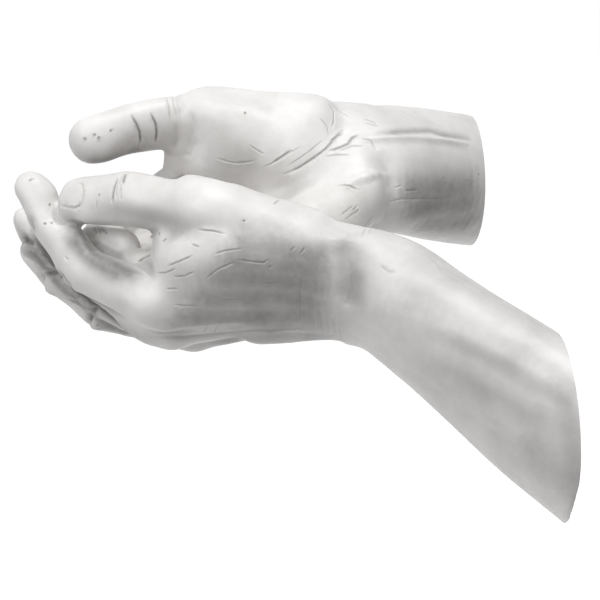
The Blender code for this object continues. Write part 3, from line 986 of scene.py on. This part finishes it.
def carve(body, lines):
    places, normals = allPlaces(body), allNormals(body)
    # one layer holds the grey of both the wash and the painted shade
    layer = body.verts.layers.float.get("washAndPaintedShade") or body.verts.layers.float.new("washAndPaintedShade")
    washAndPaintedShade = np.array([vert[layer] for vert in body.verts])
    for hits, stroke in lines:
        press(places, normals, washAndPaintedShade, hits, stroke)
    putPlaces(body, places)
    for vert, value in zip(body.verts, washAndPaintedShade):
        vert[layer] = value


hollows = {
    "radius": 1000000.0,  # so wide that the whole casting is evened out alike
    "rounds": 24,
}


def cavities(body):
    # Hollows, where a grey antique wash stays when the casting is wiped
    places, normals = allPlaces(body), allNormals(body)
    eased = places.copy()
    relax(eased, allLinks(body), places.mean(axis=0), hollows["radius"], hollows["rounds"])
    depth = np.sum((eased - places) * normals, axis=1)
    layer = body.verts.layers.float.new("cavity")
    for vert, value in zip(body.verts, np.clip(depth, -1, 1)):
        vert[layer] = value


def chosenLines(tree, group, fine):
    # All lines of the photograph and of the bones, either the fine ones or the broad ones
    lines = seenLines(tree, group)
    for bones in hands:
        lines += boneLines(tree, bones, bones is hands[0])
    return [pair for pair in lines if (pair[1]["width"] <= fineSkin["width"]) == fine]


evenOut(skin)
carve(skin, chosenLines(BVHTree.FromBMesh(skin), {**strokes, **paintedShadeAndWash}, False))
cavities(skin)
fine = chosenLines(BVHTree.FromBMesh(skin), {**strokes, **pits}, True)
spots = np.concatenate([hits[:, :3] for hits, _ in fine if len(hits)])
for reach in fineSkin["reaches"]:
    splitNear(skin, spots, reach)
carve(skin, fine)
print("carved", len(fine), "fine lines,", len(skin.faces), "faces")


# The back is cut flat where it meets the wall

wallCut = {
    "beyond": 60,  # how far the skin may still reach behind the wall before it is cut
}


def cutAtWall(body):
    # Trims everything behind the wall plane and closes the cut
    geometry = body.verts[:] + body.edges[:] + body.faces[:]
    cut = bmesh.ops.bisect_plane(
        body, geom=geometry, plane_co=(0, 0, 0), plane_no=(0, 1, 0), clear_outer=True)
    edges = [part for part in cut["geom_cut"] if isinstance(part, bmesh.types.BMEdge)]
    bmesh.ops.triangle_fill(body, edges=edges, use_beauty=True)


low, high = (np.array(corner) / mm for corner in cadBox)
putPlaces(skin, np.clip(allPlaces(skin), low, high + (0, wallCut["beyond"], 0)))
cutAtWall(skin)
bmesh.ops.scale(skin, vec=(mm, mm, mm), verts=skin.verts)
bmesh.ops.recalc_face_normals(skin, faces=skin.faces)
casting = addObject("handsCasting", meshOf("handsCasting", skin))
casting.data.shade_smooth()
triangles = sum(len(face.vertices) - 2 for face in casting.data.polygons)
print("casting finished", triangles, "triangles")


# Materials

def newMaterial(name):
    material = bpy.data.materials.new(name)
    material.use_nodes = True
    tree = material.node_tree
    tree.nodes.clear()
    return material, tree


def noise(tree, spots, size, detail, roughness):
    # The size of its patches is in millimetres
    return addNode(tree, "ShaderNodeTexNoise", links={
        "Vector": spots, "Scale": 1 / (size * mm), "Detail": detail, "Roughness": roughness}).outputs["Fac"]


def ranged(tree, value, fromLow, fromHigh, toLow, toHigh):
    return addNode(tree, "ShaderNodeMapRange", links={
        "Value": value, "From Min": fromLow, "From Max": fromHigh,
        "To Min": toLow, "To Max": toHigh}).outputs["Result"]


def combined(tree, operation, a, b, clamp=False):
    settings = {"operation": operation, "use_clamp": clamp}
    return addNode(tree, "ShaderNodeMath", settings, {0: a, 1: b}).outputs[0]


def mixed(tree, share, a, b):
    return addNode(tree, "ShaderNodeMix", {"data_type": "RGBA"}, {"Factor": share, 6: a, 7: b}).outputs[2]


def bumped(tree, height, strength, distance, below=None):
    # The distance is in millimetres
    links = {"Height": height, "Strength": strength, "Distance": distance * mm}
    if below is not None:
        links["Normal"] = below
    return addNode(tree, "ShaderNodeBump", links=links).outputs["Normal"]


def shaded(tree, links):
    shader = addNode(tree, "ShaderNodeBsdfPrincipled", links=links)
    addNode(tree, "ShaderNodeOutputMaterial", links={"Surface": shader.outputs["BSDF"]})


stone = {
    "bare": "#EFEEED",
    "warm": "#EAE7E4",
    # grey of the wash, also used as painted shade
    "washAndPaintedShade": "#6F6D6B",
    # noises: size in millimetres, detail, roughness
    "mottle": (30, 4, 0.6),
    "brush": (3.5, 5, 0.65),
    "grain": (0.7, 3, 0.6),
    # ranges: from low and high, to low and high
    "hollows": (0.12, 0.9, 0, 0.45),
    "patches": (0.38, 0.7, 0, 0.2),
    "streaks": (0.3, 0.75, 0.92, 1.08),
    "roughness": (0.3, 0.7, 0.36, 0.52),
    # bumps: strength, distance in millimetres
    "grainBump": (0.12, 0.2),
    "brushBump": (0.2, 0.5),
}


def castStone():
    # Stone-filled resin cast in a mould, painted with thin grey and wiped, so that grey stays in the hollows.
    # The same grey colour also paints the shade on the sides, and between the fingers, where they lie in
    # shadow.
    material, tree = newMaterial("castStone")
    spots = addNode(tree, "ShaderNodeTexCoord").outputs["Object"]
    mottle, brush, grain = [noise(tree, spots, *stone[name]) for name in ("mottle", "brush", "grain")]
    # the laid grey: wash along the creases and painted shade on the shaded sides, while the hollows hold wash
    washAndPaintedShade, cavity = [
        addNode(tree, "ShaderNodeAttribute", {"attribute_name": name}).outputs["Fac"]
        for name in ("washAndPaintedShade", "cavity")]
    laid = combined(tree, "MAXIMUM", washAndPaintedShade, ranged(tree, cavity, *stone["hollows"]))
    uneven = combined(tree, "MULTIPLY", laid, ranged(tree, brush, *stone["streaks"]))
    total = combined(tree, "ADD", uneven, ranged(tree, mottle, *stone["patches"]), clamp=True)
    ground = mixed(tree, mottle, linearColour(stone["bare"]), linearColour(stone["warm"]))
    shaded(tree, {
        "Base Color": mixed(tree, total, ground, linearColour(stone["washAndPaintedShade"])),
        "Roughness": ranged(tree, brush, *stone["roughness"]),
        "Normal": bumped(tree, brush, *stone["brushBump"], bumped(tree, grain, *stone["grainBump"])),
    })
    return material


# Hanger recesses and screw holes, where the CAD has them

hangerSpots = {
    "centres": ((117, -46.6), (-89.5, -22.7)),
    "recess": (50, 3.4, 19),
    "drop": 2,  # the recess reaches further down than up, for the nail's head
    "screwReach": 18.5,
    "holeRadius": 1.5,
    "holeDepth": 14.4,
    "holeSides": 24,
    "sharpAngle": 35,
    "slack": 1,
}


def pocketCutters():
    # A block for each recess with two rods for its screws, as meshes that meet nothing else
    cutters = []
    wide, deep, tall = hangerSpots["recess"]
    for x, z in hangerSpots["centres"]:
        block = bmesh.new()
        place = Matrix.Translation((x * mm, 0, (z - hangerSpots["drop"]) * mm))
        size = Matrix.Diagonal((wide * mm, 2 * deep * mm, tall * mm, 1))
        bmesh.ops.create_cube(block, size=1, matrix=place @ size)
        cutters.append(block)
        for side in (-1, 1):
            rod = bmesh.new()
            depth = hangerSpots["holeDepth"]
            place = Matrix.Translation(((x + side * hangerSpots["screwReach"]) * mm, -depth / 2 * mm, z * mm))
            radius = hangerSpots["holeRadius"] * mm
            bmesh.ops.create_cone(
                rod, cap_ends=True, segments=hangerSpots["holeSides"], radius1=radius, radius2=radius,
                depth=depth * mm, matrix=place @ Matrix.Rotation(math.radians(90), 4, "X"))
            cutters.append(rod)
    return cutters


def cutPockets(item):
    for body in pocketCutters():
        cutter = addObject("cutter", meshOf("cutter", body))
        modifier = item.modifiers.new("pocket", "BOOLEAN")
        modifier.operation = "DIFFERENCE"
        modifier.solver = "EXACT"
        modifier.object = cutter
        old, item.data = item.data, evaluatedMesh(item)
        item.modifiers.clear()
        bpy.data.meshes.remove(old)
        bpy.data.objects.remove(cutter)


def sharpenBack(mesh):
    # The sawn back and its recesses have crisp edges, the modelled skin hasn't
    body = bmesh.new()
    body.from_mesh(mesh)
    reach = (hangerSpots["holeDepth"] + hangerSpots["slack"]) * mm
    for edge in body.edges:
        behind = min(vert.co.y for vert in edge.verts) > -reach
        if behind and edge.calc_face_angle(0) > math.radians(hangerSpots["sharpAngle"]):
            edge.smooth = False
    body.to_mesh(mesh)
    body.free()


cutPockets(casting)
sharpenBack(casting.data)
print("pockets cut", len(casting.data.polygons), "faces")
casting.data.materials.append(castStone())
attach(casting, "root")
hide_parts("cupped_hands")


steel = {
    "light": "#B9BBBD",
    "dark": "#8E9092",
    "spangle": 2.5,
    "haze": (4, 4, 0.6),
    "roughness": (0, 0.8, 0.26, 0.42),
    "hazeBump": (0.1, 0.05),
}


def platedSteel():
    # Mild steel strip and screws, pressed or turned and then barrel plated with bright zinc
    material, tree = newMaterial("platedSteel")
    spots = addNode(tree, "ShaderNodeTexCoord").outputs["Object"]
    spangle = addNode(tree, "ShaderNodeTexVoronoi", links={
        "Vector": spots, "Scale": 1 / (steel["spangle"] * mm)}).outputs["Distance"]
    haze = noise(tree, spots, *steel["haze"])
    shaded(tree, {
        "Base Color": mixed(tree, haze, linearColour(steel["dark"]), linearColour(steel["light"])),
        "Metallic": 1,
        "Roughness": ranged(tree, spangle, *steel["roughness"]),
        "Normal": bumped(tree, haze, *steel["hazeBump"]),
    })
    return material


zinc = platedSteel()
for name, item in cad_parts.items():
    if "hanger" in name:
        for slot in item.material_slots:
            slot.material = zinc


# The room: a white floor well below the wall piece, and soft light from above and from the left

room = {
    "floorDrop": 0.9,
    "floorSize": 8,
    "floorLift": 0.75,
    "background": "#FFFFFF",
    "world": 0.18,
    "lamps": {
        "top": {"from": (0, 0.15, 1.6), "size": 0.9, "watts": 17},
        "left": {"from": (0.85, -0.95, 1.15), "size": 0.9, "watts": 13},
    },
}


def seenWhite(tree):
    # 1 for rays from the camera, also by way of metal and glass, else 0
    path = addNode(tree, "ShaderNodeLightPath")
    seen = combined(tree, "MAXIMUM", path.outputs["Is Camera Ray"], path.outputs["Is Glossy Ray"])
    return combined(tree, "MAXIMUM", seen, path.outputs["Is Transmission Ray"])


def addFloor():
    body = bmesh.new()
    bmesh.ops.create_grid(body, x_segments=1, y_segments=1, size=room["floorSize"] / 2)
    bmesh.ops.translate(body, vec=(0, 0, -room["floorDrop"]), verts=body.verts)
    # Matt paint that takes the object's shadow, and the rest of the way to white as seen by the camera
    material, tree = newMaterial("paleFloor")
    white = linearColour(room["background"])
    matt = addNode(tree, "ShaderNodeBsdfDiffuse", links={"Color": white}).outputs[0]
    lift = combined(tree, "MULTIPLY", seenWhite(tree), room["floorLift"])
    glow = addNode(tree, "ShaderNodeEmission", links={"Color": white, "Strength": lift}).outputs[0]
    both = addNode(tree, "ShaderNodeAddShader", links={0: matt, 1: glow})
    addNode(tree, "ShaderNodeOutputMaterial", links={"Surface": both.outputs[0]})
    floor = addObject("floor", meshOf("floor", body))
    floor.data.materials.append(material)


def addWorld():
    world = bpy.data.worlds.new("studio")
    bpy.context.scene.world = world
    world.use_nodes = True
    tree = world.node_tree
    tree.nodes.clear()
    white = linearColour(room["background"])
    soft, full = [
        addNode(tree, "ShaderNodeBackground", links={"Color": white, "Strength": strength}).outputs[0]
        for strength in (room["world"], 1)]
    mix = addNode(tree, "ShaderNodeMixShader", links={0: seenWhite(tree), 1: soft, 2: full})
    addNode(tree, "ShaderNodeOutputWorld", links={"Surface": mix.outputs[0]})


def addLamp(name, lamp):
    data = bpy.data.lights.new(name, "AREA")
    data.size = lamp["size"]
    data.energy = lamp["watts"]
    item = addObject(name, data)
    item.location = lamp["from"]
    aim = Vector(photoView["target"]) * mm - item.location
    item.rotation_euler = aim.to_track_quat("-Z", "Y").to_euler()


addFloor()
addWorld()
for name, lamp in room["lamps"].items():
    addLamp(name, lamp)
bpy.context.scene.view_settings.view_transform = "Standard"
print("room lit")
